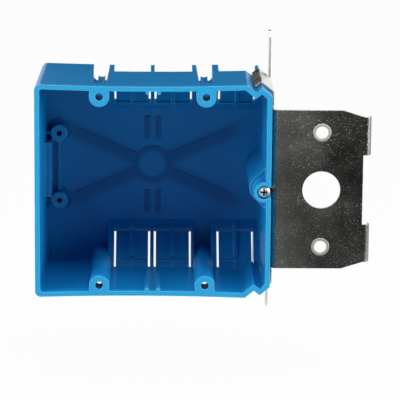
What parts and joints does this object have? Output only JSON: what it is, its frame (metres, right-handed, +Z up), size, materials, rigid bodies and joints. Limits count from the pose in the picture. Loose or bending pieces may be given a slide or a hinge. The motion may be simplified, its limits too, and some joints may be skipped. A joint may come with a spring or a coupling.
{
  "type": "new work outlet box",
  "caption": "Blue plastic two-gang outlet box for new work, open at the front, that slides on a stamped steel stud bracket and is set in depth by one screw.",
  "frame": {"origin": "centre of the four device screw holes, on the plane of the rim, with the box where the picture shows it", "axes": "-Y out of the open front, +X towards the stud, +Z up the stud"},
  "size_m": [0.1459, 0.062, 0.1262],
  "materials": {
    "blue_plastic": "semi-gloss moulded",
    "zinc_plated_sheet": "zinc plated, faint spangle and rolling marks",
    "zinc_plated_screw": "bright zinc plated"
  },
  "bodies": {
    "bracket": {"mounting_bracket": "zinc_plated_sheet"},
    "box": {"box_body": "blue_plastic"},
    "screw": {"depth_screw": "zinc_plated_screw"}
  },
  "joints": [
    {"name": "box_slide", "type": "slide", "parent": "bracket", "child": "box", "axis": [0, -1, 0], "range_m": [-0.0075, 0.0115]},
    {"name": "screw_turn", "type": "hinge", "parent": "box", "child": "screw", "pos_m": [0.04835, 0, 0], "axis": [0, -1, 0], "range_deg": [-3402.5, 5216.1]}
  ],
  "couplings": [
    {"joint": "screw_turn", "follows": "box_slide", "rad_per_m": 7913.3}
  ]
}
